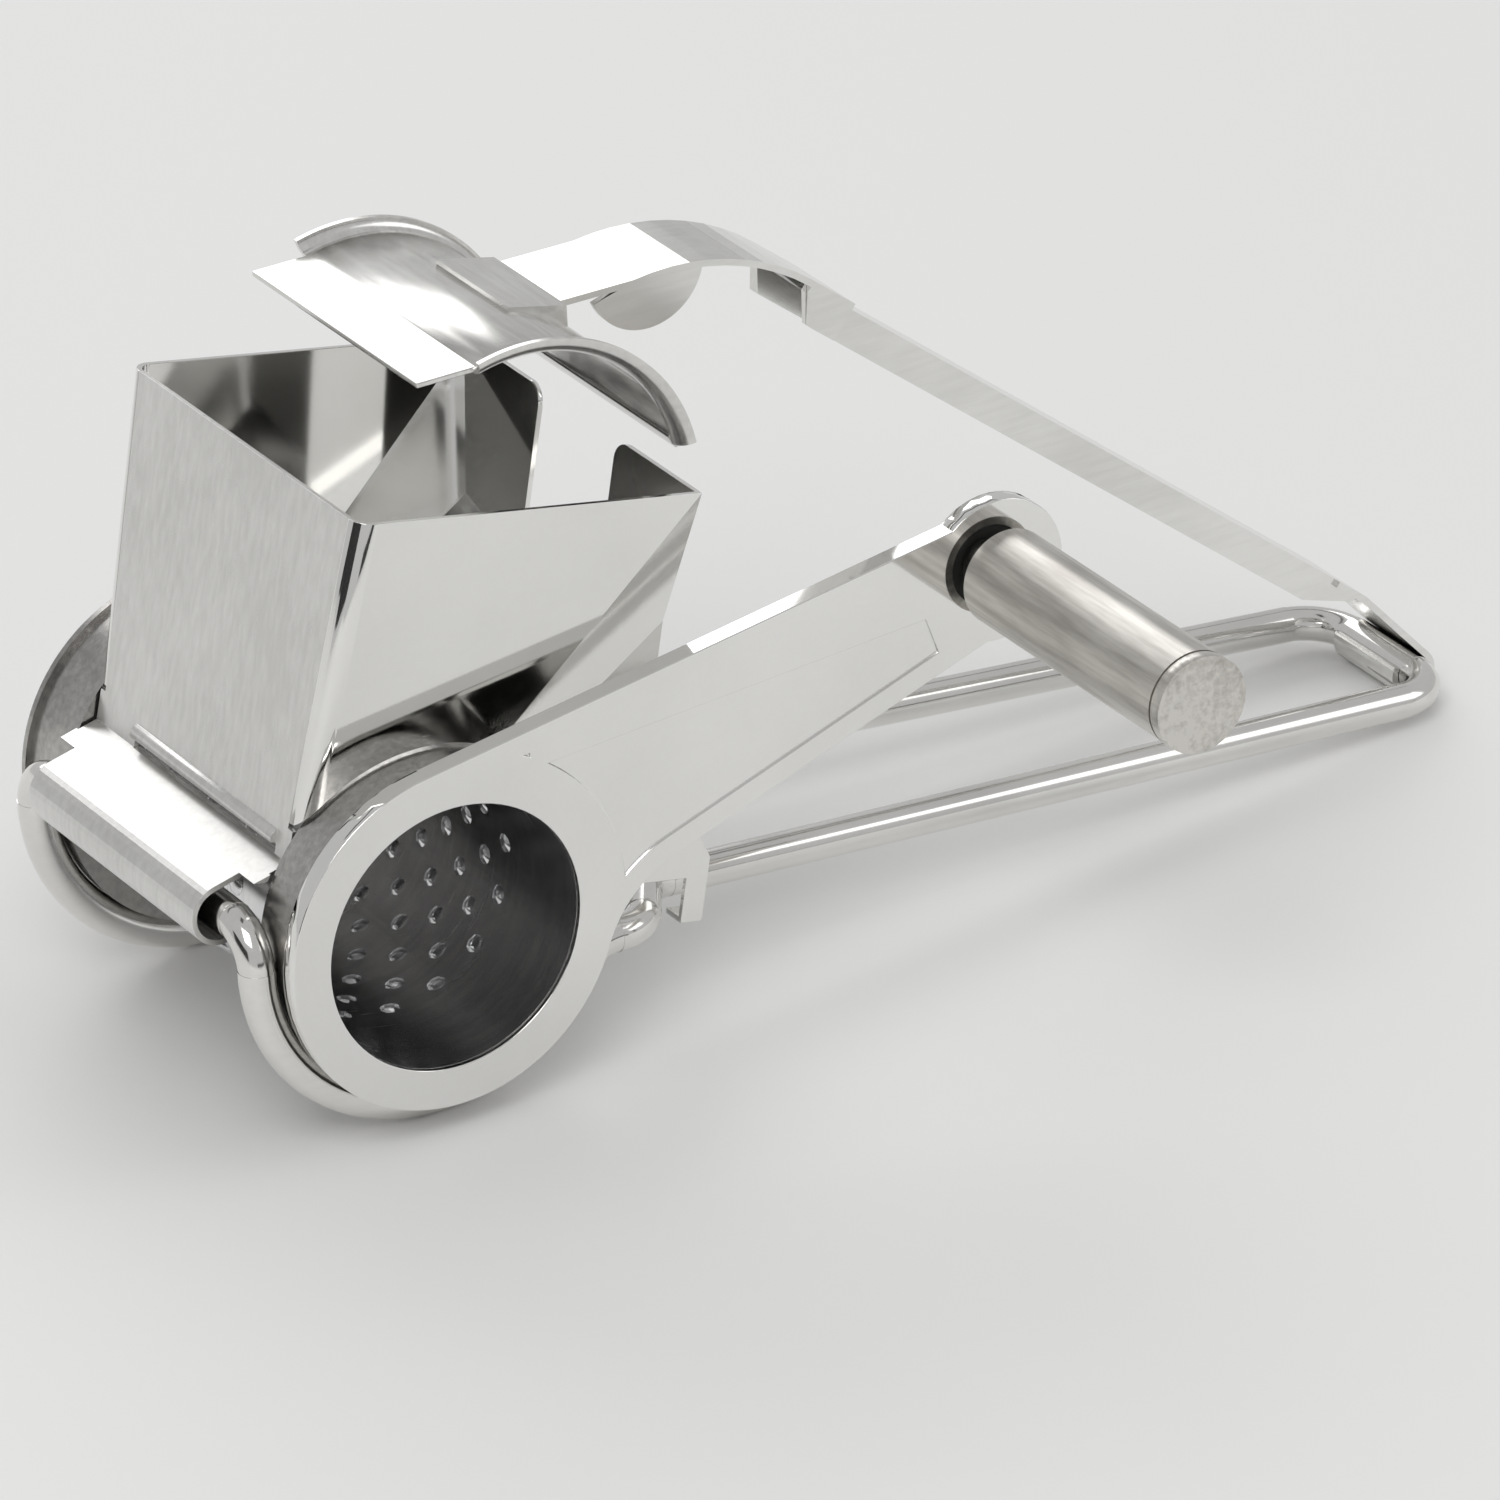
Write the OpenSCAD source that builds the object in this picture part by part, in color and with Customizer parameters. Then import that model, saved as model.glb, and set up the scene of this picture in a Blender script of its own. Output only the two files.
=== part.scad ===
// Rotary cheese grater: a bent-rod stand, a hinged hopper, a crank-turned
// grating drum and a hinged presser handle. Millimetres, +Z up, +X to the rear,
// the crank side faces -Y. The origin is on the table, under the middle.

/* [Stand] */
// Diameter of the bent rod
rod_d = 5.5; // [4.5:0.1:6]
// Centre-line radius of the two cradle loops
loop_r = 28; // [26:0.5:32]
// Distance of each loop's middle from the centre plane
loop_y = 31.9; // [31:0.1:36]
// Bend radius between the front cross rod and a loop
front_bend_r = 6; // [5:0.5:8]
// Height of the loop's upward end, as an angle round the drum
loop_end_angle = 326; // [322:1:330]
// Bend radius from a loop into its rail
rail_bend_r = 8; // [6:0.5:10]
// Half of the clear track of the rails behind the hopper
rail_front_y = 19.2; // [18:0.1:20]
// Half of the track of the rails at the rear
rail_rear_y = 15.5; // [14:0.1:18]
// Length along X over which a rail comes in behind the drum
rail_jog = 8; // [7:0.5:10]
// Distance from the drum axis back to the rear cross rod
wheelbase = 184.5; // [150:0.5:225]
// Bend radius of the two rear corners
rear_bend_r = 8; // [7:0.5:9]

/* [Hopper] */
// Sheet thickness of the hopper
sheet_t = 0.8; // [0.6:0.1:1.2]
// Backward lean of the hopper
hopper_lean = 11.3; // [8:0.1:14]
// Height of the hopper's rim over the drum axis
hopper_h = 61.2; // [50:0.1:75]
// Outside of the front wall in front of the drum axis, at the rim
front_x = 20.1; // [19:0.1:24]
// Forward slope of the front wall
front_slope = 1.75; // [1:0.05:4]
// Outside of the back wall behind the drum axis
back_x = 36.3; // [34:0.1:42]
// Outside radius of the hopper's front corners
corner_r = 3; // [1.5:0.1:4]
// Half width of the hopper at the drum axis
side_y = 28.2; // [27:0.1:31]
// Outward lean of the side walls
side_lean = 4; // [2:0.1:6]
// Half width over the inset lower cheeks
cheek_y = 27; // [26.6:0.1:27.4]
// Slope of the fold line between side wall and cheek, from upright
fold_slope = 36.5; // [32:0.5:42]
// Angle of that fold
fold_angle = 17; // [12:0.5:20]
// Lowest point of the side walls at the front
side_toe_z = 3.3; // [2:0.1:6]
// Half length of the knuckle round the front cross rod
knuckle_y = 23.7; // [18:0.1:24]
// Inside radius of the knuckle
knuckle_r = 3.9; // [3.6:0.1:4.4]
// Half width of the back wall's slot for the handle
slot_y = 10.4; // [9.6:0.1:14]
// Lowest point of that slot over the drum axis
slot_z = 27; // [22:0.5:30]
// Radius of the slot's corners
slot_corner_r = 3; // [1:0.5:5]

/* [Drum] */
// Outside radius of the perforated shell
shell_r = 20.9; // [18:0.1:21.3]
// Wall of the shell
shell_t = 0.6; // [0.4:0.1:1]
// Half length of the shell
shell_y = 38.6; // [38:0.1:42]
// Radial clearance between the drum's collars and the loops
collar_fit = 0.08; // [0.03:0.01:0.1]
// Clearance between the hopper's arched edges and the collars
arch_gap = 0.5; // [0.4:0.05:1]
// Diameter of a grating hole
hole_d = 3; // [2:0.1:3.4]
// Rows of holes along the drum
hole_rows = 8; // [4:1:10]
// Holes in a row
holes_round = 16; // [8:1:18]
// Spacing of the rows
row_pitch = 5.4; // [4.6:0.1:6]

/* [Crank] */
// Crank radius, drum axis to knob pin
crank_r = 96.6; // [70:0.1:110]
// Angle of the crank above level, as it stands
crank_angle = 18.4; // [0:0.1:45]
// How far the crank's ring stands out over the drum's collars
ring_over = 1.23; // [1.1:0.01:2]
// Outside radius of the crank's eye
eye_r = 11; // [10:0.1:13]
// Half width of the arm at the eye
arm_half = 9.6; // [8:0.1:9.8]
// Thickness of the crank's sheet
crank_t = 1; // [0.8:0.1:1.4]
// Depth of the folded edge of the crank
crank_fold = 3.2; // [2:0.1:3.6]
// Depth of the pressed panel in the arm
panel_depth = 0.4; // [0.2:0.1:0.5]
// Fillet between ring and arm, on the lower side
web_fillet = 18; // [14:1:24]

/* [Knob] */
// Outside radius of the knob
knob_r = 7.35; // [6.5:0.05:9.5]
// Length of the knob, cap included
knob_len = 50; // [40:0.5:60]
// Wall of the knob's tube
knob_t = 1.2; // [0.8:0.1:1.6]
// Radius of the knob's pin
pin_r = 3; // [2.5:0.1:4]
// Radial clearance of the knob on its pin
pin_fit = 0.08; // [0.03:0.01:0.1]
// Gap between the crank's face and the knob
knob_gap = 2.4; // [1.5:0.1:4]

/* [Handle] */
// Slope of the arm, as it stands
arm_slope = 39.4; // [36:0.1:42]
// Half width of the arm
arm_y = 7; // [6:0.1:7.2]
// Depth of the arm's side flanges
arm_h = 5.1; // [4:0.1:6]
// Sheet thickness of the handle
handle_t = 1; // [0.8:0.1:1.2]
// Height of the arm's back over the rear cross rod
arm_rise = 6.5; // [6:0.1:7]
// Radial clearance of the handle's curl on the rear cross rod
curl_fit = 0.08; // [0.03:0.01:0.1]
// Length of the arm from the rear cross rod
arm_len = 150; // [120:0.5:190]
// Half width of the neck that carries the shoe
neck_y = 8.2; // [8.1:0.1:9]

/* [Shoe] */
// Centre of the shoe's arch, forward of the rear cross rod
shoe_fwd = 161; // [130:0.5:200]
// Centre of the shoe's arch, over the rear cross rod
shoe_up = 79; // [70:0.1:90]
// Outside radius of the arched plate
shoe_r = 26.2; // [25:0.1:28]
// Half length of the shoe
shoe_y = 25.7; // [20:0.1:25.9]
// Thickness of the shoe
shoe_t = 0.8; // [0.6:0.1:1.2]
// Half angle of the arch
shoe_half = 46; // [36:1:48]
// Lean of the shoe to the rear, as it stands
shoe_lean = 32.5; // [28:0.5:34]
// Height of the end rims over the plate
rim_h = 2.6; // [2:0.1:3]
// Length of the shoe's flat front lip
front_lip = 9.5; // [4:0.5:12]
// Length of the shoe's flared rear lip
rear_lip = 1.5; // [1:0.5:3]

/* [Hidden] */
$fn = 96;

rod_r = rod_d / 2;
axis_z = loop_r + rod_r;                      // drum axis over the table
front_rod = [-loop_r, front_bend_r];          // front cross rod, X and Z from the drum axis
curl_r = rod_r + curl_fit + handle_t;         // outside of the curl that stands on the table
rear_rod = [wheelbase, curl_r - axis_z];      // rear cross rod, X and Z from the drum axis
hole_sides = 8;                               // the small holes are punched eight-sided

// Loop end, and the bend that follows it into the rail
loop_end = loop_r * [cos(loop_end_angle), sin(loop_end_angle)];
loop_end_dir = loop_end_angle - 270;
bend_c = loop_end + rail_bend_r * [sin(loop_end_dir), -cos(loop_end_dir)];
rail_drop = atan2(bend_c[1] + rail_bend_r - rear_rod[1], wheelbase - bend_c[0]);
bend_end = bend_c + rail_bend_r * [sin(rail_drop), cos(rail_drop)];
rail_run = (wheelbase - bend_end[0]) / cos(rail_drop);
rail_lead = 4;                                // straight rail before it comes in
rail_path = [[-rail_run, loop_y], [rail_lead - rail_run, loop_y],
             [rail_lead + rail_jog - rail_run, rail_front_y], [0, rail_rear_y], [0, 0]];
lap = 0.5;                                    // a straight run laps this far into a bend
bend_slim = 0.08;                             // the rod is this much thinner in a bend
lip_lap = 1;                                  // a lip of the shoe laps this far into the arch
front_flare = 14;                             // the shoe's front lip opens by this angle
rear_flare = 20;                              // and its rear lip by this one
rear_track = rail_rear_y - setback(rail_path, 3, rear_bend_r) + lap;

collar_r = loop_r - rod_r - collar_fit;       // bearing radius of the drum's end collars
ring_r = collar_r + ring_over;                // outside radius of the crank's ring
arch_r = collar_r + arch_gap;                 // arched lower edges of the hopper
collar_in_y = loop_y - rod_r - 1.2;           // inner face of a collar
crank_y = shell_y;                            // back of the crank's sheet
crank_face = crank_y + crank_t;               // outer face of the crank
top_y = side_y + hopper_h * tan(side_lean);   // half width of the hopper's rim
front_rod_h = [front_rod[0] * cos(hopper_lean) - front_rod[1] * sin(hopper_lean),
               front_rod[0] * sin(hopper_lean) + front_rod[1] * cos(hopper_lean)];
knuckle_shift = [-0.6, -0.2];                 // the knuckle hangs a little forward of the rod
knuckle_c = front_rod_h + knuckle_shift;
knuckle_mid = knuckle_r + sheet_t / 2;
knob_start = crank_face + knob_gap;
knob_end = knob_start + knob_len;
x_low = front_rod[0] + knuckle_shift * [cos(hopper_lean), sin(hopper_lean)] - knuckle_r - sheet_t;
x_high = rear_rod[0] + curl_r;
y_high = shell_y + crank_t;
x_mid = (x_low + x_high) / 2;
y_mid = (y_high - knob_end) / 2;

function arc(c, r, a0, a1, n = 12) = [for (i = [0 : n]) c + r * [cos(a0 + (a1 - a0) * i / n), sin(a0 + (a1 - a0) * i / n)]];
function unit(v) = v / norm(v);
function side_dir(v) = [-v[1], v[0]];
function bisector(p, i) =
    i == 0 ? side_dir(unit(p[1] - p[0])) :
    i == len(p) - 1 ? side_dir(unit(p[i] - p[i - 1])) :
    let (a = side_dir(unit(p[i] - p[i - 1])), b = side_dir(unit(p[i + 1] - p[i])), m = unit(a + b)) m / (m * a);

// A folded sheet of one thickness, drawn along the middle of its edge
module strip(p, t) {
    polygon(concat(
        [for (i = [0 : len(p) - 1]) p[i] + bisector(p, i) * t / 2],
        [for (i = [len(p) - 1 : -1 : 0]) p[i] - bisector(p, i) * t / 2]));
}

// Places everything from the drum axis to the table frame
module on_table() { translate([-x_mid, -y_mid, axis_z]) children(); }

// Turns an X-Z outline into a solid between two Y planes
module across(y0, y1) {
    translate([0, y1, 0]) rotate([90, 0, 0]) linear_extrude(y1 - y0) children();
}

// Round rod bent in one plane: straight runs joined by bends of one radius
function turn_at(p, i) = let (a = unit(p[i] - p[i - 1]), b = unit(p[i + 1] - p[i])) atan2(a[0] * b[1] - a[1] * b[0], a * b);
function setback(p, i, r) = i == 0 || i == len(p) - 1 ? 0 : r * tan(abs(turn_at(p, i)) / 2);

// Runs lap a little into the bends, where the rod is drawn down slightly
module bend(r, angle) { rotate_extrude(angle = angle) translate([r, 0]) circle(r = rod_r - bend_slim); }

module bent_rod(p, r) {
    for (i = [0 : len(p) - 3]) {
        d = unit(p[i + 1] - p[i]);
        from = p[i] + (setback(p, i, r) - lap) * d;
        run = norm(p[i + 1] - p[i]) - setback(p, i, r) - setback(p, i + 1, r) + 2 * lap;
        translate(from) rotate([0, 90, atan2(d[1], d[0])]) cylinder(r = rod_r, h = run);
    }
    for (i = [1 : len(p) - 2]) {
        turn = turn_at(p, i);
        s = sign(turn);
        before = unit(p[i] - p[i - 1]);
        after = unit(p[i + 1] - p[i]);
        centre = p[i] - setback(p, i, r) * before + s * r * side_dir(before);
        out = -s * side_dir(s > 0 ? before : after);
        translate(centre) rotate(atan2(out[1], out[0])) bend(r, abs(turn));
    }
}

module half_stand() {
    lap_a = lap / loop_r * 180 / PI;
    // bend from the front cross rod down into the loop
    translate([front_rod[0], loop_y - front_bend_r, front_rod[1] - front_bend_r])
        rotate([90, 0, 90]) bend(front_bend_r, 90);
    // loop under the drum
    translate([0, loop_y, 0]) rotate([90, 0, 0]) rotate([0, 0, 180 - lap_a])
        rotate_extrude(angle = loop_end_angle - 180 + 2 * lap_a) translate([loop_r, 0]) circle(r = rod_r);
    // bend from the loop into the rail
    translate([bend_c[0], loop_y, bend_c[1]]) rotate([90, 0, 0]) rotate([0, 0, 90 - rail_drop])
        bend(rail_bend_r, loop_end_dir + rail_drop);
    // the rail comes in behind the drum, runs back and turns into the rear cross rod
    translate([rear_rod[0], 0, rear_rod[1]]) rotate([0, rail_drop, 0]) bent_rod(rail_path, rear_bend_r);
}

module cross_rod(at, half) {
    translate([at[0], -half, at[1]]) rotate([-90, 0, 0]) cylinder(r = rod_r, h = 2 * half);
}

module frame_rod() {
    color("gainsboro") on_table() {
        half_stand();
        mirror([0, 1, 0]) half_stand();
        cross_rod(front_rod, loop_y - front_bend_r + lap);
        cross_rod(rear_rod, rear_track);
    }
}

// The hopper is drawn upright about the drum axis, then leaned back
module hopper_place() { on_table() rotate([0, hopper_lean, 0]) children(); }

function front_at(z) = -front_x - (hopper_h - z) * tan(front_slope);

module half_space() { translate([-200, -200, -200]) cube([400, 200, 400]); }

// Space inside the far side wall: the flat wall, its folded lower corner, and the cheek
module side_space(inset) {
    intersection() {
        translate([0, side_y - inset, 0]) rotate([-side_lean, 0, 0]) half_space();
        translate([back_x, top_y - inset, hopper_h]) rotate([-side_lean, 0, 0]) rotate([0, fold_slope, 0])
            rotate([0, 0, -fold_angle]) half_space();
    }
    translate([0, cheek_y - inset, 0]) half_space();
}

// Space between the two side walls
module between_sides(inset) {
    intersection() {
        side_space(inset);
        mirror([0, 1, 0]) side_space(inset);
    }
}

ear_x = back_x + 10;                          // ear at the foot of a cheek
ear_w = 3.6;
ear_drop = 8;
ear_gap = 1;                                  // gap between the ear and the rail

module side_outline() {
    difference() {
        polygon([[front_at(hopper_h), hopper_h], [back_x, hopper_h], [back_x, 22], [ear_x + ear_w, 2],
                 [ear_x + ear_w, -ear_drop], [ear_x, -ear_drop], [ear_x, -1], [20, -1], [front_at(side_toe_z), side_toe_z]]);
        circle(r = arch_r);
    }
}

module side_wall() {
    intersection() {
        across(0, top_y + 1) side_outline();
        difference() {
            side_space(0);
            side_space(sheet_t);
        }
    }
    // the cheek's ear turns in beside the rail
    tab_in = rail_front_y + rod_r + ear_gap;
    translate([ear_x, tab_in, -ear_drop]) cube([ear_w, cheek_y - sheet_t / 2 - tab_in, sheet_t]);
}

module round_side() {
    difference() {
        side_wall();
        corner_cut();
    }
    corner_bend();
}

module hopper_side_far() { color("silver") hopper_place() round_side(); }
module hopper_side_near() { color("silver") hopper_place() mirror([0, 1, 0]) round_side(); }

// Runs up a front corner: local X is to the rear and Y inward, from the corner's edge
module corner_place() {
    foot_z = side_toe_z + 11;
    edge = [front_at(hopper_h) - front_at(foot_z), (hopper_h - foot_z) * tan(side_lean), hopper_h - foot_z];
    translate([front_at(foot_z), side_y + foot_z * tan(side_lean), foot_z])
        rotate([-atan2(edge[1], edge[2]), atan2(edge[0], edge[2]), 0]) mirror([0, 1, 0]) children();
}

module corner_cut() {
    corner_place() translate([-1, -1, -1]) cube([corner_r + 1, corner_r + 1, hopper_h + 2]);
}

module corner_bend() {
    intersection() {
        corner_place() difference() {
            translate([corner_r, corner_r, -1]) cylinder(r = corner_r, h = hopper_h + 2);
            translate([corner_r, corner_r, -2]) cylinder(r = corner_r - sheet_t, h = hopper_h + 4);
            translate([corner_r, -1, -2]) cube([2 * corner_r, 4 * corner_r, hopper_h + 4]);
            translate([-1, corner_r, -2]) cube([4 * corner_r, 2 * corner_r, hopper_h + 4]);
        }
        difference() {
            translate([-60, -60, side_toe_z + 11]) cube([120, 120, hopper_h - side_toe_z - 11]);
            across(-60, 60) circle(r = arch_r);
        }
    }
}

front_bend = [front_at(8.5) + sheet_t / 2, 8.5];
module hopper_front() {
    d = front_bend - knuckle_c;
    reach = norm(d);
    tangent = atan2(d[1], d[0]) + acos(knuckle_mid / reach);
    lip_z = 10.4;
    lip_mid = front_at(lip_z) + sheet_t / 2;
    color("lightgray") hopper_place() {
        difference() {
            intersection() {
                across(-top_y, top_y) strip(concat([[front_at(hopper_h) + sheet_t / 2, hopper_h], front_bend],
                                                   arc(knuckle_c, knuckle_mid, tangent, 325, 20)), sheet_t);
                union() {
                    intersection() {
                        between_sides(sheet_t);
                        translate([-60, -60, side_toe_z + 3]) cube([120, 120, 100]);
                    }
                    translate([-60, -knuckle_y, -30]) cube([60, 2 * knuckle_y, 60]);
                }
            }
            translate([lip_mid - 3, -knuckle_y, lip_z - 1.7]) cube([6, 1.7 * knuckle_y, 1.7]);
            corner_cut();
            mirror([0, 1, 0]) corner_cut();
            // the wall's lower corners clear the drum's collars
            for (s = [-1, 1])
                translate([0, s * (collar_in_y - arch_gap + 15), 0]) rotate([90, 0, 0]) cylinder(r = arch_r, h = 30, center = true);
        }
        // pressed lip over the slot
        intersection() {
            translate([lip_mid, -knuckle_y, lip_z + 0.6]) rotate([-90, 0, 0]) cylinder(r = 1.4, h = 1.7 * knuckle_y);
            translate([lip_mid - 5, -60, lip_z]) cube([5 + sheet_t / 2 - 0.1, 120, 5]);
        }
    }
}

module hopper_back() {
    bx = back_x - sheet_t / 2;
    color("darkgray") hopper_place() difference() {
        intersection() {
            across(-top_y, top_y) strip([[bx, hopper_h], [bx, slot_z - 2], [arch_r - 1.6, 7]], sheet_t);
            between_sides(sheet_t);
        }
        translate([back_x - 5, 0, 0]) rotate([90, 0, 90]) linear_extrude(10) slot_outline();
    }
}

module slot_outline() {
    r = slot_corner_r;
    difference() {
        translate([-slot_y - r, slot_z]) square([2 * (slot_y + r), hopper_h - slot_z + 1]);
        for (s = [-1, 1]) {
            translate([s * (slot_y + r), hopper_h - r]) circle(r = r);
            translate([s > 0 ? slot_y : -slot_y - r, slot_z - 1]) square([r, hopper_h - r - slot_z + 1]);
        }
    }
}

// Drum: a turned profile about the Y axis
module turned(angle = 360) { rotate([-90, 0, 0]) rotate_extrude(angle = angle) children(); }

module drum_shell() {
    color("lightsteelblue") on_table() difference() {
        turned() translate([shell_r - shell_t, -shell_y]) square([shell_t, 2 * shell_y]);
        for (row = [0 : hole_rows - 1], k = [0 : holes_round - 1])
            translate([0, (row - (hole_rows - 1) / 2) * row_pitch, 0])
                rotate([0, (k + (row % 2) / 2) * 360 / holes_round, 0])
                    cylinder(d = hole_d, h = shell_r + 1, $fn = hole_sides);
    }
}

// Collar that runs in a loop: a web on the shell and a turned-over band
module collar() {
    turned() {
        translate([shell_r, collar_in_y]) square([collar_r - shell_r, crank_t]);
        translate([collar_r - crank_t, collar_in_y]) square([crank_t, shell_y - collar_in_y]);
    }
}

module drum_collar_far() { color("gray") on_table() collar(); }
module drum_collar_near() { color("gray") on_table() mirror([0, 1, 0]) collar(); }

module drum_end_disc() {
    color("dimgray") on_table() turned() {
        translate([0, shell_y]) square([ring_r - 0.4, crank_t]);
    }
}

// Outline of the crank, moved in by d
arm_top_dir = asin((ring_r - arm_half + 0.4) / (crank_r - 10));
module crank_outline(d) {
    fillet_x = sqrt(pow(ring_r + web_fillet, 2) - pow(arm_half + web_fillet, 2));
    top_a = 90 - arm_top_dir;
    top_end = [crank_r, 0] + (arm_half - 0.4 - d) * [cos(top_a), sin(top_a)];
    circle(r = ring_r - d);
    translate([crank_r, 0]) circle(r = eye_r - d);
    difference() {
        polygon([[0, 0], (ring_r - d) * [cos(top_a), sin(top_a)], top_end, [crank_r, 0],
                 [crank_r - 2, -arm_half + d], [fillet_x, -arm_half + d], (ring_r - d) * unit([fillet_x, -arm_half - web_fillet])]);
        translate([fillet_x, -arm_half - web_fillet]) circle(r = web_fillet + d);
    }
}

module panel_outline() {
    intersection() {
        crank_outline(3.4);
        difference() {
            translate([0, -30]) square([crank_r - eye_r - 2, 60]);
            circle(r = ring_r + 1.5);
            translate([20, 17]) rotate(-arm_top_dir - 3.6) square([crank_r, 40]);
        }
    }
}

// From the crank's own plane to the near side of the drum
module crank_place() {
    on_table() rotate([0, -crank_angle, 0]) translate([0, -crank_face, 0]) rotate([-90, 0, 0]) mirror([0, 1, 0]) children();
}

module crank_plate() {
    color("whitesmoke") crank_place() difference() {
        union() {
            linear_extrude(crank_t) crank_outline(0);
            linear_extrude(crank_fold) difference() {
                crank_outline(0);
                crank_outline(crank_t);
            }
        }
        translate([0, 0, -1]) cylinder(r = shell_r - shell_t, h = crank_fold + 2);
        translate([crank_r, 0, -1]) cylinder(r = pin_r - 0.6, h = crank_fold + 2);
        translate([0, 0, -1]) linear_extrude(1 + panel_depth) panel_outline();
    }
}

// Knob: everything is drawn along the pin, starting at the crank's face
module pin_place() { crank_place() translate([crank_r, 0, 0]) mirror([0, 0, 1]) children(); }

module knob_pin() {
    color("silver") pin_place() {
        cylinder(r = pin_r, h = knob_gap + knob_len - 5);
        translate([0, 0, -crank_t]) cylinder(r = pin_r - 0.6, h = crank_t + 1);
        cylinder(r = pin_r + 1.6, h = knob_gap - 0.3);
        translate([0, 0, knob_gap + knob_len - 6]) cylinder(r = pin_r + 1, h = 1.5);
    }
}

module pin_rivet() {
    color("gray") pin_place() translate([0, 0, -crank_t]) mirror([0, 0, 1]) intersection() {
        translate([0, 0, 1.6 - 6]) sphere(r = 6);
        cylinder(r = 5, h = 1.6);
    }
}

module knob_sleeve() {
    color("darkgray") pin_place() translate([0, 0, knob_gap]) difference() {
        cylinder(r = knob_r, h = knob_len - 2.4);
        translate([0, 0, -1]) cylinder(r = knob_r - knob_t, h = knob_len);
    }
}

module knob_cap() {
    color("gainsboro") pin_place() translate([0, 0, knob_gap + knob_len]) mirror([0, 0, 1]) {
        cylinder(r = knob_r, h = 2);
        cylinder(r = knob_r - 0.5, h = 2.4);
        difference() {
            cylinder(r = knob_r - knob_t, h = 4);
            translate([0, 0, 2.4]) cylinder(r = knob_r - 2 * knob_t, h = 4);
        }
    }
}

module bush(z, h) {
    color("black") pin_place() translate([0, 0, z]) difference() {
        cylinder(r = knob_r - knob_t, h = h);
        translate([0, 0, -1]) cylinder(r = pin_r + pin_fit, h = h + 2);
    }
}

module knob_bush_near() { bush(knob_gap + 0.4, 6); }
module knob_bush_far() { bush(knob_gap + knob_len - 16, 9); }

// Handle: drawn from the rear cross rod, X forward along the arm and Z up from it
module handle_place() {
    on_table() translate([rear_rod[0], 0, rear_rod[1]]) children();
}
arm_fwd = [-cos(arm_slope), sin(arm_slope)];
arm_up = [sin(arm_slope), cos(arm_slope)];
function on_arm(x, z) = x * arm_fwd + z * arm_up;
curl_in = 16;                                 // where the arm's back starts down to the curl
neck_from = arm_len - 11;                     // where the arm ends and the neck bends forward

module handle_arm() {
    back = arm_rise - handle_t / 2;
    mid = curl_r - handle_t / 2;
    up_a = atan2(arm_up[1], arm_up[0]);
    reach = norm([curl_in, back]);
    start_a = up_a + atan2(curl_in, back) - acos(mid / reach);
    color("lightgray") handle_place() {
        // curl, and the back of the arm
        across(-rear_track + 0.4, rear_track - 0.4)
            strip(concat(arc([0, 0], mid, start_a - 250, start_a, 28), [on_arm(curl_in, back), on_arm(curl_in + 6, back)]), handle_t);
        across(-arm_y, arm_y) strip([on_arm(curl_in, back), on_arm(neck_from, back)], handle_t);
        // side flanges
        for (s = [-1, 1])
            across(s > 0 ? arm_y - handle_t : -arm_y, s > 0 ? arm_y : handle_t - arm_y)
                polygon([on_arm(curl_in, arm_rise), on_arm(neck_from, arm_rise), on_arm(neck_from - 4, arm_rise - arm_h),
                         on_arm(curl_in + 10, arm_rise - arm_h), on_arm(curl_in + 2, arm_rise - 2)]);
    }
}

shoe_c = [-shoe_fwd, shoe_up];
neck_bend_r = 38;                            // bend of the neck over the hopper
neck_gap = 0.05;                             // gap between the lapped sheets
neck_back = arm_rise + handle_t / 2 + neck_gap;
neck_bend_c = on_arm(neck_from, neck_back - neck_bend_r);
neck_lap = 9;                                // length of the neck over the arm
foot_y = 10;                                 // half width of the foot
foot_front = shoe_c + (shoe_r + 0.7) * [cos(107 - shoe_lean), sin(107 - shoe_lean)];
foot_back = foot_front + [9.4, -2.3];

module handle_neck() {
    lobe = neck_bend_c + [-3, neck_bend_r];
    arm_in = neck_from - neck_lap;
    color("silver") handle_place() {
        across(-neck_y, neck_y)
            strip(concat([foot_back + [neck_gap, -handle_t / 2]], arc(neck_bend_c, neck_bend_r, 98, 90 - arm_slope, 10),
                         [on_arm(arm_in, neck_back)]), handle_t);
        for (s = [-1, 1])
            across(s > 0 ? arm_y + neck_gap : -neck_y, s > 0 ? neck_y : -arm_y - neck_gap) {
                // rounded lobe at the bend
                intersection() {
                    translate(lobe + [0, 1.5]) circle(r = 9.5);
                    translate(lobe + [-20, -20]) square([40, 20]);
                    translate(neck_bend_c) circle(r = neck_bend_r);
                }
                // flange beside the arm's own
                polygon([on_arm(neck_from, neck_back), on_arm(arm_in, neck_back),
                         on_arm(arm_in, arm_rise - arm_h), on_arm(arm_in + 5, arm_rise - arm_h)]);
            }
    }
}

module handle_foot() {
    color("gray") handle_place() across(-foot_y, foot_y) difference() {
        polygon([foot_front, foot_back, foot_back - [0, 3.4], foot_front - [0, 4]]);
        translate(shoe_c) circle(r = shoe_r);
    }
}

// Shoe: an arched plate with a raised rim at each end, drawn about its own axis
module shoe_place() {
    handle_place() translate([shoe_c[0], 0, shoe_c[1]]) rotate([0, shoe_lean, 0]) children();
}

module arch_sweep(half) {
    rotate([90, 0, 0]) rotate([0, 0, 90 - half]) rotate_extrude(angle = 2 * half) children();
}

// Flared lip at one end of the arch
module lip_section(length, flare) {
    a = 90 + shoe_half;
    mid = (shoe_r - shoe_t / 2) * [cos(a), sin(a)];
    away = [cos(a + 90 - flare), sin(a + 90 - flare)];
    strip([mid - lip_lap * away, mid + length * away], shoe_t);
}

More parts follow.
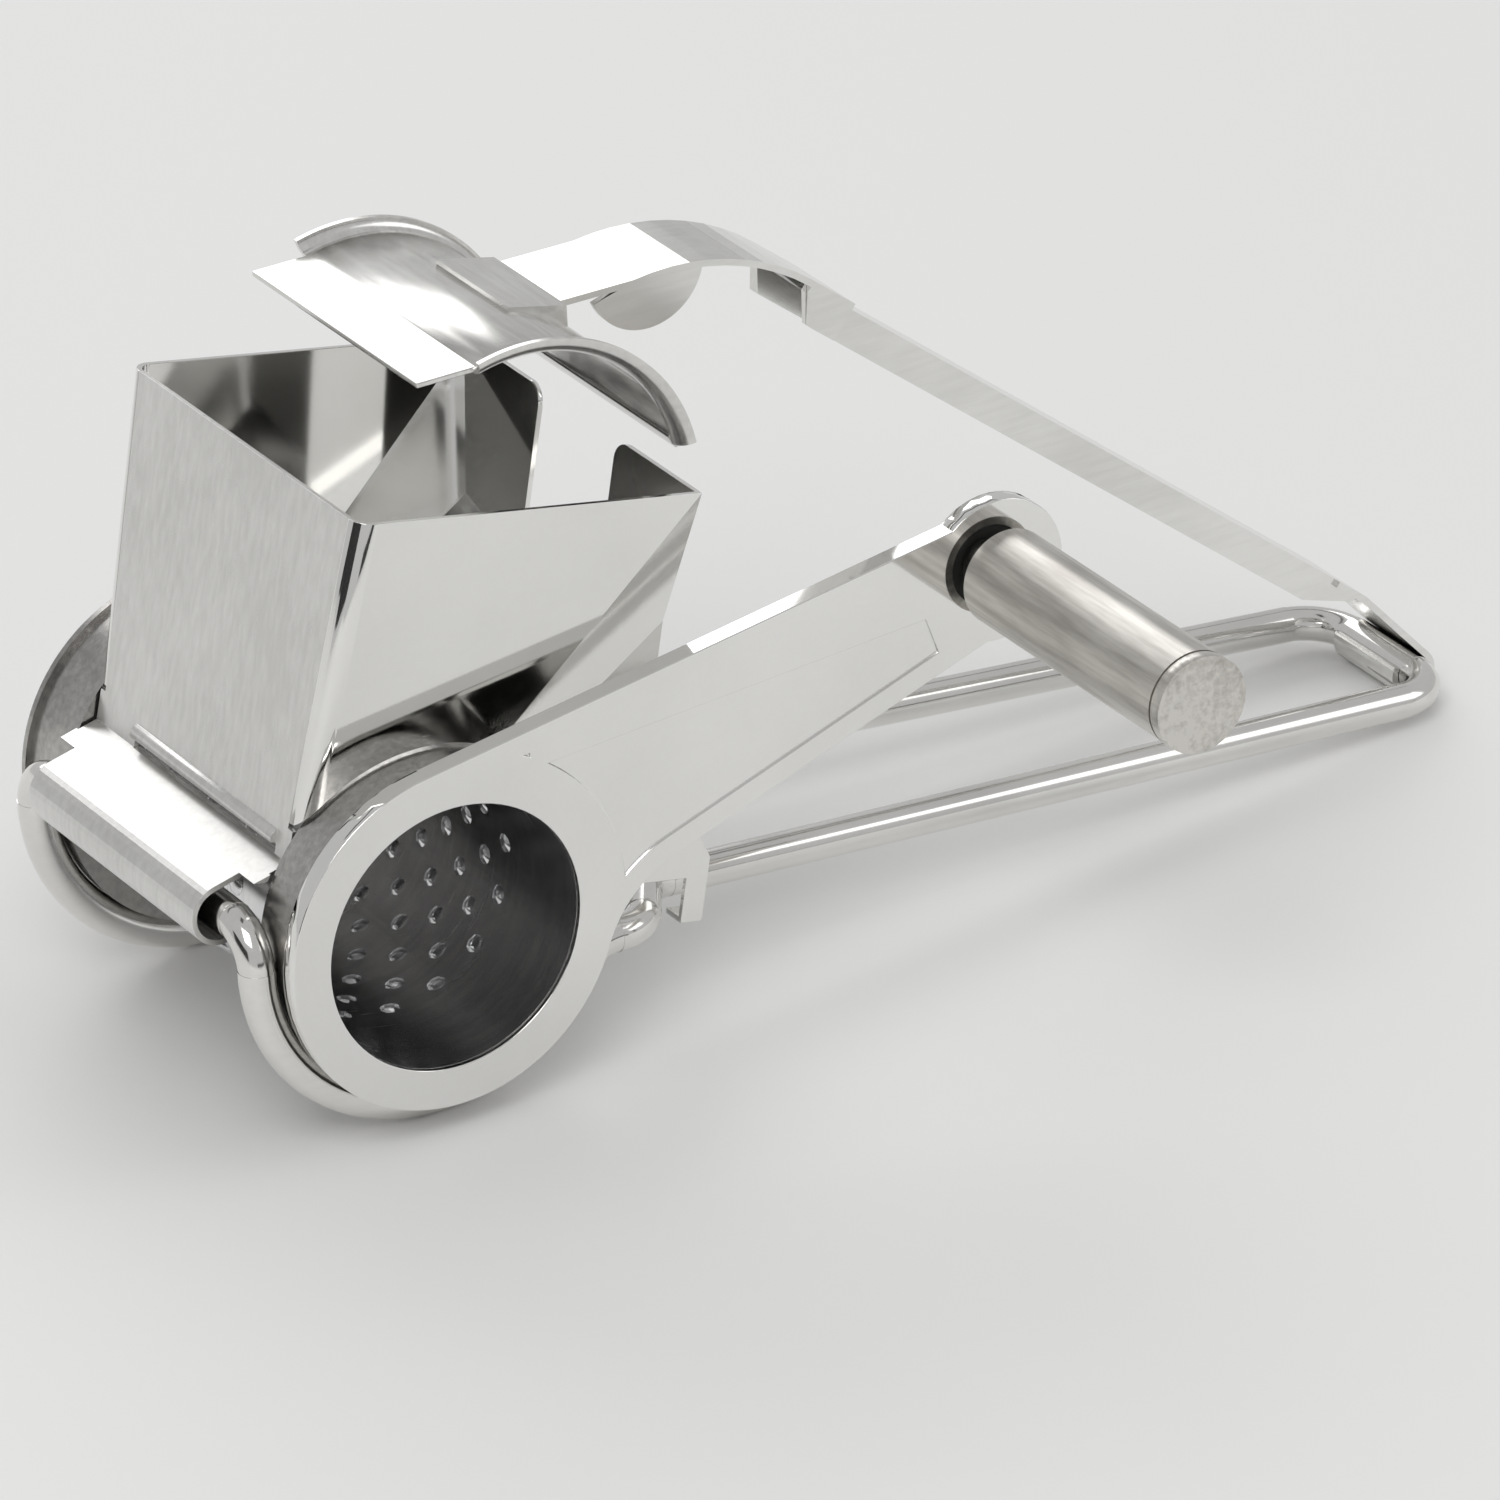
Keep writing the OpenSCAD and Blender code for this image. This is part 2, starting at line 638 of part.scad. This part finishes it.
module shoe_section() {
    difference() {
        circle(r = shoe_r);
        circle(r = shoe_r - shoe_t);
        for (m = [0, 1]) mirror([m, 0]) rotate(90 - shoe_half) translate([0, -2 * shoe_r]) square([2 * shoe_r, 2 * shoe_r]);
        translate([-shoe_r, -2 * shoe_r]) square([2 * shoe_r, 2 * shoe_r]);
    }
}

module shoe_plate() {
    half = shoe_y - rim_h;
    color("gainsboro") shoe_place() {
        across(-half, half) shoe_section();
        across(-half, half) lip_section(front_lip, front_flare);
        across(-half, half) mirror([1, 0]) lip_section(rear_lip, rear_flare);
    }
}

module rim_profile() {
    // a quarter-round that turns the plate's end up into a rim
    difference() {
        translate([shoe_r - shoe_t + rim_h, shoe_y - rim_h]) circle(r = rim_h);
        translate([shoe_r - shoe_t + rim_h, shoe_y - rim_h]) circle(r = rim_h - shoe_t);
        translate([shoe_r - shoe_t + rim_h, -shoe_y]) square([2 * rim_h, 3 * shoe_y]);
        translate([shoe_r - 3 * rim_h, -shoe_y]) square([6 * rim_h, 2 * shoe_y - rim_h]);
    }
}

module shoe_rim_far() { color("silver") shoe_place() mirror([0, 1, 0]) arch_sweep(shoe_half + 1) rim_profile(); }
module shoe_rim_near() { color("silver") shoe_place() arch_sweep(shoe_half + 1) rim_profile(); }

frame_rod();
hopper_front();
hopper_side_near();
hopper_side_far();
hopper_back();
drum_shell();
drum_collar_near();
drum_collar_far();
drum_end_disc();
crank_plate();
knob_pin();
pin_rivet();
knob_sleeve();
knob_cap();
knob_bush_near();
knob_bush_far();
handle_arm();
handle_neck();
handle_foot();
shoe_plate();
shoe_rim_near();
shoe_rim_far();
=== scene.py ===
from math import cos, pi, radians, sin

import bmesh
import bpy
from mathutils import Matrix, Vector


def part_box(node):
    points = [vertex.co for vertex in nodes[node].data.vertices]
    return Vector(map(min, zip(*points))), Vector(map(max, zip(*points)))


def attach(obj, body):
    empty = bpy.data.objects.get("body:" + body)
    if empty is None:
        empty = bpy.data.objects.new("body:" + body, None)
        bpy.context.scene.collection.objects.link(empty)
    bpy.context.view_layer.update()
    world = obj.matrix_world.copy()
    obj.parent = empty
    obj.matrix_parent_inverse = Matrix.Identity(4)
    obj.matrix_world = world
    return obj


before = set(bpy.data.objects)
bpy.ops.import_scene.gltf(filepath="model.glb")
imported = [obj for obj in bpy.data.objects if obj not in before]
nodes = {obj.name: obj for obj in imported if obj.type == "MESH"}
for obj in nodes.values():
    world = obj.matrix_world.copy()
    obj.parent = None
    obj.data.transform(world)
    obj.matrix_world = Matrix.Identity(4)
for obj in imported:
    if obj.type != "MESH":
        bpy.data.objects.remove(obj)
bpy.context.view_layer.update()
print("frame loaded:", len(nodes), "nodes")


def newGroup(name, inputs, outputs):
    group = bpy.data.node_groups.new(name, "ShaderNodeTree")
    for label, kind, value in inputs:
        socket = group.interface.new_socket(name=label, in_out="INPUT", socket_type=kind)
        if value is not None:
            socket.default_value = value
    for label, kind in outputs:
        group.interface.new_socket(name=label, in_out="OUTPUT", socket_type=kind)
    start = group.nodes.new("NodeGroupInput")
    end = group.nodes.new("NodeGroupOutput")
    return group, start, end


def newMaterial(name):
    material = bpy.data.materials.new(name)
    material.use_nodes = True
    tree = material.node_tree
    return material, tree, tree.nodes["Principled BSDF"]


# a socket is linked, a plain number is set
def feed(tree, socket, amount):
    if hasattr(amount, "is_linked"):
        tree.links.new(amount, socket)
    else:
        socket.default_value = amount


def addNoise(tree, vector, scale, detail, roughness):
    noise = tree.nodes.new("ShaderNodeTexNoise")
    noise.inputs["Scale"].default_value = scale
    noise.inputs["Detail"].default_value = detail
    noise.inputs["Roughness"].default_value = roughness
    tree.links.new(vector, noise.inputs["Vector"])
    return noise.outputs["Fac"]


def addRange(tree, value, fromMin, fromMax, toMin, toMax):
    ranged = tree.nodes.new("ShaderNodeMapRange")
    feed(tree, ranged.inputs["Value"], value)
    feed(tree, ranged.inputs["From Min"], fromMin)
    feed(tree, ranged.inputs["From Max"], fromMax)
    feed(tree, ranged.inputs["To Min"], toMin)
    feed(tree, ranged.inputs["To Max"], toMax)
    return ranged.outputs["Result"]


def addMath(tree, operation, *amounts):
    node = tree.nodes.new("ShaderNodeMath")
    node.operation = operation
    for place, amount in enumerate(amounts):
        feed(tree, node.inputs[place], amount)
    return node.outputs["Value"]


# what every steel shares; a noise is its scale, detail and roughness
steelPattern = {
    "grain": (900, 3, 0.6),
    "smear": (28, 4, 0.55),
    "smearWear": 1.2,
    "cloud": (9, 2, 0.5),
    "scratch": (2, 2, 0.6),
    "scratchTurn": (0.4, 0.9, 0.3),
    "scratchStretch": (20, 700, 20),
    "scratchBand": (0.68, 0.76),  # only the peaks of the noise are scratches
    "toneBand": (0.3, 0.7),
    "smoothest": 0.02,
    "bumpDepth": 0.00002,
}


# grain runs along the stretched axis of the vector, smears and fine scratches lie over it
def buildSteelGroup(pattern):
    group, start, end = newGroup(
        "steelFinish",
        [("Vector", "NodeSocketVector", None),
         ("Light tone", "NodeSocketColor", (0.8, 0.8, 0.8, 1)),
         ("Dark tone", "NodeSocketColor", (0.5, 0.5, 0.5, 1)),
         ("Roughness", "NodeSocketFloat", 0.2),
         ("Spread", "NodeSocketFloat", 0.1),
         ("Grain", "NodeSocketFloat", 0.5),
         ("Scratch", "NodeSocketFloat", 0.3)],
        [("Color", "NodeSocketColor"), ("Roughness", "NodeSocketFloat"), ("Height", "NodeSocketFloat")])
    coords = group.nodes.new("ShaderNodeTexCoord").outputs["Object"]
    grain = addNoise(group, start.outputs["Vector"], *pattern["grain"])
    smear = addNoise(group, coords, *pattern["smear"])
    cloud = addNoise(group, coords, *pattern["cloud"])

    scratchVector = group.nodes.new("ShaderNodeMapping")
    scratchVector.inputs["Rotation"].default_value = pattern["scratchTurn"]
    scratchVector.inputs["Scale"].default_value = pattern["scratchStretch"]
    group.links.new(coords, scratchVector.inputs["Vector"])
    scratchNoise = addNoise(group, scratchVector.outputs["Vector"], *pattern["scratch"])
    scratchMask = addRange(group, scratchNoise, *pattern["scratchBand"], 0, 1)
    scratch = addMath(group, "MULTIPLY", scratchMask, start.outputs["Scratch"])

    centred = addMath(group, "SUBTRACT", grain, 0.5)
    tone = addMath(group, "MULTIPLY_ADD", centred, start.outputs["Grain"], smear)
    mix = group.nodes.new("ShaderNodeMix")
    mix.data_type = "RGBA"
    group.links.new(addRange(group, tone, *pattern["toneBand"], 0, 1), mix.inputs[0])
    group.links.new(start.outputs["Dark tone"], mix.inputs[6])
    group.links.new(start.outputs["Light tone"], mix.inputs[7])
    group.links.new(mix.outputs[2], end.inputs["Color"])

    smearWear = addMath(group, "MULTIPLY", addMath(group, "SUBTRACT", smear, 0.5), pattern["smearWear"])
    wear = addMath(group, "ADD", smearWear, addMath(group, "SUBTRACT", cloud, 0.5))
    wear = addMath(group, "ADD", wear, scratch)
    rough = addMath(group, "MULTIPLY", wear, start.outputs["Spread"])
    rough = addMath(group, "ADD", rough, start.outputs["Roughness"])
    rough = addMath(group, "MAXIMUM", rough, pattern["smoothest"])
    group.links.new(rough, end.inputs["Roughness"])

    height = addMath(group, "MULTIPLY", grain, start.outputs["Grain"])
    height = addMath(group, "SUBTRACT", height, scratch)
    group.links.new(height, end.inputs["Height"])
    return group


steelFinish = buildSteelGroup(steelPattern)

# stretch draws the grain out along one axis, turn leans it in degrees
steels = {
    "mirrorSteel": {"light": (0.87, 0.865, 0.85), "dark": (0.80, 0.795, 0.775), "roughness": 0.07,
                    "spread": 0.05, "grain": 0.15, "scratch": 0.5, "bump": 0.03},
    "rodSteel": {"light": (0.83, 0.82, 0.80), "dark": (0.72, 0.71, 0.69), "roughness": 0.13,
                 "spread": 0.08, "grain": 0.3, "scratch": 0.6, "bump": 0.06, "stretch": (0.1, 1, 1)},
    "satinSteel": {"light": (0.78, 0.775, 0.76), "dark": (0.66, 0.655, 0.64), "roughness": 0.30,
                   "spread": 0.12, "grain": 0.8, "scratch": 0.6, "bump": 0.12,
                   "stretch": (1, 1, 0.12), "turn": (0, 11, 0)},
    "shoeSteel": {"light": (0.80, 0.795, 0.78), "dark": (0.66, 0.65, 0.63), "roughness": 0.22,
                  "spread": 0.12, "grain": 0.7, "scratch": 0.7, "bump": 0.10, "stretch": (1, 0.1, 1)},
    "handleSteel": {"light": (0.83, 0.825, 0.81), "dark": (0.70, 0.695, 0.675), "roughness": 0.17,
                    "spread": 0.10, "grain": 0.5, "scratch": 0.7, "bump": 0.08,
                    "stretch": (0.1, 1, 1), "turn": (0, 39, 0)},
    "knobSteel": {"light": (0.70, 0.68, 0.64), "dark": (0.46, 0.44, 0.41), "roughness": 0.33,
                  "spread": 0.12, "grain": 1.0, "scratch": 0.5, "bump": 0.16, "stretch": (1, 0.06, 1)},
    "shellSteel": {"light": (0.80, 0.80, 0.80), "dark": (0.60, 0.60, 0.61), "roughness": 0.24,
                   "spread": 0.12, "grain": 0.7, "scratch": 0.8, "bump": 0.1, "stretch": (0.15, 1, 0.15)},
    "collarSteel": {"light": (0.55, 0.54, 0.52), "dark": (0.34, 0.33, 0.32), "roughness": 0.26,
                    "spread": 0.12, "grain": 0.7, "scratch": 0.6, "bump": 0.1},
}


def makeSteel(name, look):
    material, tree, shader = newMaterial(name)
    shader.inputs["Metallic"].default_value = 1
    coords = tree.nodes.new("ShaderNodeTexCoord")
    mapping = tree.nodes.new("ShaderNodeMapping")
    mapping.inputs["Scale"].default_value = look.get("stretch", (1, 1, 1))
    mapping.inputs["Rotation"].default_value = [radians(angle) for angle in look.get("turn", (0, 0, 0))]
    tree.links.new(coords.outputs["Object"], mapping.inputs["Vector"])
    finish = tree.nodes.new("ShaderNodeGroup")
    finish.node_tree = steelFinish
    tree.links.new(mapping.outputs["Vector"], finish.inputs["Vector"])
    finish.inputs["Light tone"].default_value = (*look["light"], 1)
    finish.inputs["Dark tone"].default_value = (*look["dark"], 1)
    for label in ("Roughness", "Spread", "Grain", "Scratch"):
        finish.inputs[label].default_value = look[label.lower()]
    tree.links.new(finish.outputs["Color"], shader.inputs["Base Color"])
    tree.links.new(finish.outputs["Roughness"], shader.inputs["Roughness"])
    bumpNode = tree.nodes.new("ShaderNodeBump")
    bumpNode.inputs["Strength"].default_value = look["bump"]
    bumpNode.inputs["Distance"].default_value = steelPattern["bumpDepth"]
    tree.links.new(finish.outputs["Height"], bumpNode.inputs["Height"])
    tree.links.new(bumpNode.outputs["Normal"], shader.inputs["Normal"])
    return material


bush = {"speck": (600, 3, 0.6), "dark": (0.02, 0.02, 0.02, 1), "light": (0.06, 0.06, 0.06, 1),
        "speckBand": (0.3, 0.7), "roughness": (0.45, 0.65)}


def makeBushPlastic(look):
    material, tree, shader = newMaterial("bushPlastic")
    coords = tree.nodes.new("ShaderNodeTexCoord").outputs["Object"]
    speck = addNoise(tree, coords, *look["speck"])
    ramp = tree.nodes.new("ShaderNodeValToRGB")
    ramp.color_ramp.elements[0].color = look["dark"]
    ramp.color_ramp.elements[1].color = look["light"]
    tree.links.new(speck, ramp.inputs["Fac"])
    tree.links.new(ramp.outputs["Color"], shader.inputs["Base Color"])
    rough = addRange(tree, speck, *look["speckBand"], *look["roughness"])
    tree.links.new(rough, shader.inputs["Roughness"])
    return material


materials = {name: makeSteel(name, look) for name, look in steels.items()}
materials["bushPlastic"] = makeBushPlastic(bush)
print("materials made")

nodeFinish = {
    "frame_rod": "rodSteel",
    "hopper_front": "satinSteel",
    "hopper_side_near": "mirrorSteel",
    "hopper_side_far": "mirrorSteel",
    "hopper_back": "mirrorSteel",
    "drum_shell": "shellSteel",
    "drum_collar_near": "collarSteel",
    "drum_collar_far": "collarSteel",
    "drum_end_disc": "collarSteel",
    "crank_plate": "mirrorSteel",
    "knob_pin": "collarSteel",
    "pin_rivet": "collarSteel",
    "knob_sleeve": "knobSteel",
    "knob_cap": "knobSteel",
    "knob_bush_near": "bushPlastic",
    "knob_bush_far": "bushPlastic",
    "handle_arm": "handleSteel",
    "handle_neck": "handleSteel",
    "handle_foot": "shoeSteel",
    "shoe_plate": "shoeSteel",
    "shoe_rim_near": "shoeSteel",
    "shoe_rim_far": "shoeSteel",
}
for name, finishName in nodeFinish.items():
    mesh = nodes[name].data
    mesh.materials.clear()
    mesh.materials.append(materials[finishName])
print("finishes put on")

# width of the softened edge on each sheet part, in metres
edgeWidth = {
    "crank_plate": 0.0005,
    "hopper_side_near": 0.0002,
    "hopper_side_far": 0.0002,
    "hopper_front": 0.0002,
    "hopper_back": 0.0002,
    "handle_arm": 0.00025,
    "handle_neck": 0.00025,
    "shoe_plate": 0.0002,
    "knob_cap": 0.0003,
}
softEdge = {"weldDistance": 0.00001, "segments": 2, "sharperThan": 40}

for name, width in edgeWidth.items():
    weld = nodes[name].modifiers.new("weld", "WELD")  # the triangles are loose until they are welded
    weld.merge_threshold = softEdge["weldDistance"]
    bevel = nodes[name].modifiers.new("edge", "BEVEL")
    bevel.width = width
    bevel.segments = softEdge["segments"]
    bevel.limit_method = "ANGLE"
    bevel.angle_limit = radians(softEdge["sharperThan"])
    bevel.harden_normals = True
print("edges softened")

# raised cutting edges over the drum's holes, in metres and degrees
drum = {
    "rows": 8,
    "round": 16,
    "pitch": 0.0054,
    "radius": 0.0209,
    "toothRadius": 0.0019,
    "toothRise": 0.0006,
    "toothSink": 0.0001,
    "toothSegments": 12,
    "toothRings": 8,
    "openAngle": 25,
    "openFrom": 0.0003,
    "mergeDistance": 0.000001,
    "wall": 0.00025,
}


def geometryOf(verts):
    edges = dict.fromkeys(edge for vert in verts for edge in vert.link_edges)
    faces = dict.fromkeys(face for vert in verts for face in vert.link_faces)
    return list(verts) + list(edges) + list(faces)


# keeps what lies on the side of the plane that its normal points away from
def cutAway(bm, verts, place, normal):
    cut = bmesh.ops.bisect_plane(bm, geom=geometryOf(verts), plane_co=place, plane_no=normal, clear_outer=True)
    return list(dict.fromkeys(item for item in cut["geom"] if isinstance(item, bmesh.types.BMVert)))


def addTooth(bm, matrix):
    made = bmesh.ops.create_uvsphere(bm, u_segments=drum["toothSegments"], v_segments=drum["toothRings"],
                                     radius=drum["toothRadius"])
    verts = cutAway(bm, made["verts"], (0, 0, 0), (0, 0, -1))
    tilt = radians(drum["openAngle"])
    verts = cutAway(bm, verts, (drum["openFrom"], 0, 0), (cos(tilt), 0, -sin(tilt)))
    bmesh.ops.scale(bm, vec=(1, 1, drum["toothRise"] / drum["toothRadius"]), verts=verts)
    bmesh.ops.transform(bm, matrix=matrix, verts=verts)


shellLow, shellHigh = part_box("drum_shell")
axisPlace = (shellLow + shellHigh) / 2
bm = bmesh.new()
for row in range(drum["rows"]):
    along = (row - (drum["rows"] - 1) / 2) * drum["pitch"]
    toothPlace = Matrix.Translation((0, along, drum["radius"] - drum["toothSink"]))
    for step in range(drum["round"]):
        angle = (step + (row % 2) / 2) * 2 * pi / drum["round"]  # every other row is half a step round
        addTooth(bm, Matrix.Translation(axisPlace) @ Matrix.Rotation(angle, 4, "Y") @ toothPlace)
bmesh.ops.remove_doubles(bm, verts=bm.verts, dist=drum["mergeDistance"])
teethMesh = bpy.data.meshes.new("drumTeeth")
bm.to_mesh(teethMesh)
bm.free()
teethMesh.materials.append(materials["shellSteel"])
for face in teethMesh.polygons:
    face.use_smooth = True
teeth = bpy.data.objects.new("drumTeeth", teethMesh)
bpy.context.scene.collection.objects.link(teeth)
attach(teeth, "drum")
teethWall = teeth.modifiers.new("wall", "SOLIDIFY")
teethWall.thickness = drum["wall"]
teethWall.offset = -1
print("drum teeth made")


def plainMaterial(name, shade, roughness):
    material, _, shader = newMaterial(name)
    shader.inputs["Base Color"].default_value = (*shade, 1)
    shader.inputs["Roughness"].default_value = roughness
    return material


# flat card that is part of the stage; turn is in degrees about X, Y and Z
def addCard(name, size, place, turn, material):
    aboutX, aboutY, aboutZ = [radians(angle) for angle in turn]
    pose = Matrix.Translation(place) @ Matrix.Rotation(aboutZ, 4, "Z")
    pose = pose @ Matrix.Rotation(aboutY, 4, "Y") @ Matrix.Rotation(aboutX, 4, "X")
    bm = bmesh.new()
    bmesh.ops.create_grid(bm, x_segments=1, y_segments=1, size=0.5)
    bmesh.ops.scale(bm, vec=(size[0], size[1], 1), verts=bm.verts)
    bmesh.ops.transform(bm, matrix=pose, verts=bm.verts)
    mesh = bpy.data.meshes.new(name)
    bm.to_mesh(mesh)
    bm.free()
    mesh.materials.append(material)
    card = bpy.data.objects.new(name, mesh)
    bpy.context.scene.collection.objects.link(card)
    return card


floor = {"size": (6, 6), "shade": (0.93, 0.93, 0.92), "roughness": 0.6}
floorMaterial = plainMaterial("floorPale", floor["shade"], floor["roughness"])
addCard("floor", floor["size"], (0, 0, 0), (0, 0, 0), floorMaterial)

# dark flags beside the view, which only the steel reflects
flags = {
    "flagLeft": {"place": (-1.6, -0.2, 0.35), "turn": (90, 0, 90), "size": (1.4, 0.5), "grey": 0.03},
    "flagRight": {"place": (1.3, -1.2, 0.25), "turn": (90, 0, -50), "size": (0.7, 0.35), "grey": 0.03},
    "flagHigh": {"place": (0.2, 0.9, 1.2), "turn": (35, 0, 0), "size": (2.0, 0.35), "grey": 0.05},
    "flagFront": {"place": (0.25, -1.7, 0.12), "turn": (90, 0, 0), "size": (1.6, 0.16), "grey": 0.04},
    "flagTop": {"place": (-0.1, 0.05, 1.6), "turn": (0, 0, 20), "size": (0.5, 0.22), "grey": 0.06},
}
flagRoughness = 0.9
for name, flag in flags.items():
    flagMaterial = plainMaterial(name, (flag["grey"], flag["grey"], flag["grey"]), flagRoughness)
    card = addCard(name, flag["size"], flag["place"], flag["turn"], flagMaterial)
    card.visible_camera = False
    card.visible_shadow = False
    card.visible_diffuse = False

softboxes = {
    "keyBox": {"place": (-0.9, -0.9, 1.5), "aim": (0, 0, 0.03), "size": (1.0, 1.0), "power": 9},
    "fillBox": {"place": (1.4, -0.9, 0.9), "aim": (0, 0, 0.03), "size": (0.9, 0.9), "power": 3},
    "backBox": {"place": (0.3, 1.5, 1.0), "aim": (0, 0, 0.05), "size": (1.4, 0.6), "power": 5},
}
for name, box in softboxes.items():
    light = bpy.data.lights.new(name, "AREA")
    light.shape = "RECTANGLE"
    light.size = box["size"][0]
    light.size_y = box["size"][1]
    light.energy = box["power"]
    lamp = bpy.data.objects.new(name, light)
    lamp.location = box["place"]
    direction = Vector(box["aim"]) - Vector(box["place"])
    lamp.rotation_euler = direction.to_track_quat("-Z", "Y").to_euler()
    bpy.context.scene.collection.objects.link(lamp)

worldLight = 0.54
world = bpy.data.worlds.new("studioWorld")
world.use_nodes = True
background = world.node_tree.nodes["Background"]
background.inputs["Color"].default_value = (1, 1, 1, 1)
background.inputs["Strength"].default_value = worldLight
scene = bpy.context.scene
scene.world = world
scene.view_settings.view_transform = "Standard"

view = {
    "place": (-0.8252, -1.3550, 0.84795),
    "right": (0.8483, -0.5279, -0.0401),
    "up": (0.2721, 0.3698, 0.8884),
    "back": (-0.4542, -0.7646, 0.4574),
    "lens": 297.2,
    "sensor": 36,
    "farthest": 20,
}
cameraData = bpy.data.cameras.new("camera")
cameraData.lens = view["lens"]
cameraData.sensor_width = view["sensor"]
cameraData.clip_end = view["farthest"]
camera = bpy.data.objects.new("camera", cameraData)
camera.location = view["place"]
camera.rotation_euler = Matrix((view["right"], view["up"], view["back"])).transposed().to_euler()
scene.collection.objects.link(camera)
scene.camera = camera
print("stage set")
